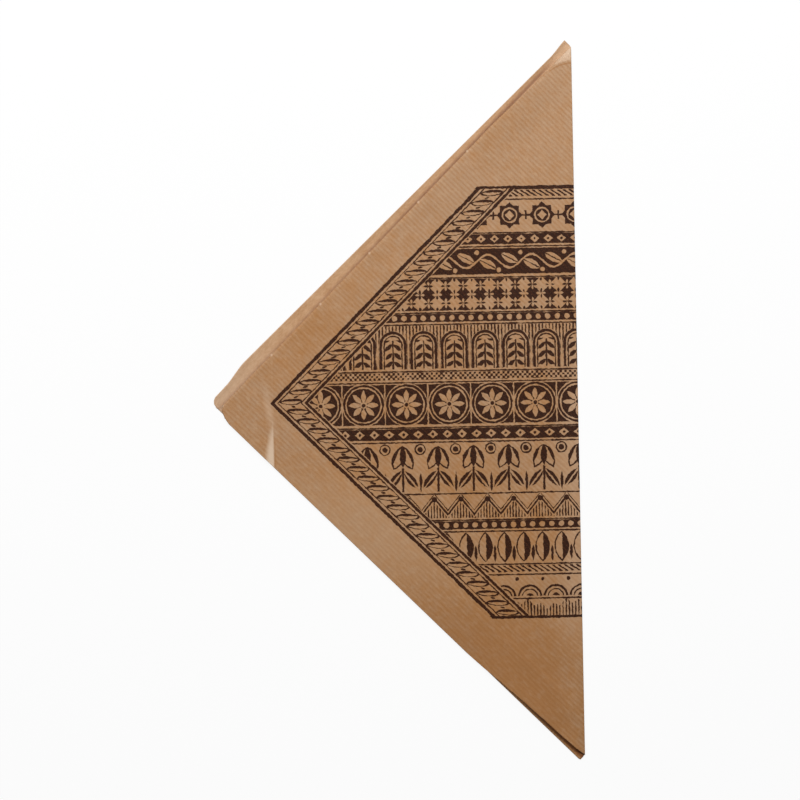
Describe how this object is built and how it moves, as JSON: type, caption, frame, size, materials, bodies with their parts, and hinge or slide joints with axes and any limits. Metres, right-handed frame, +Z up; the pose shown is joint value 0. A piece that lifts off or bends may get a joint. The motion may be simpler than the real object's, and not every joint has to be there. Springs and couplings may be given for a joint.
{
  "type": "paper cone bag",
  "caption": "Flat triangular paper bag folded from ribbed kraft, glued along a side and open along its mouth, where the back panel ends in a lip.",
  "frame": {"origin": "under the middle of the bag, on the surface that it lies on", "axes": "+Y along the slant fold from the tip to the mouth, +X across from the glued seam to the slant fold, +Z up out of the front panel"},
  "size_m": [0.1376, 0.272, 0.0021],
  "materials": {
    "ribbed_kraft": "brown machine-ribbed kraft, satin on the ribbed side, with dark brown print"
  },
  "bodies": {
    "root": {"paper_bag": "ribbed_kraft"}
  },
  "joints": []
}
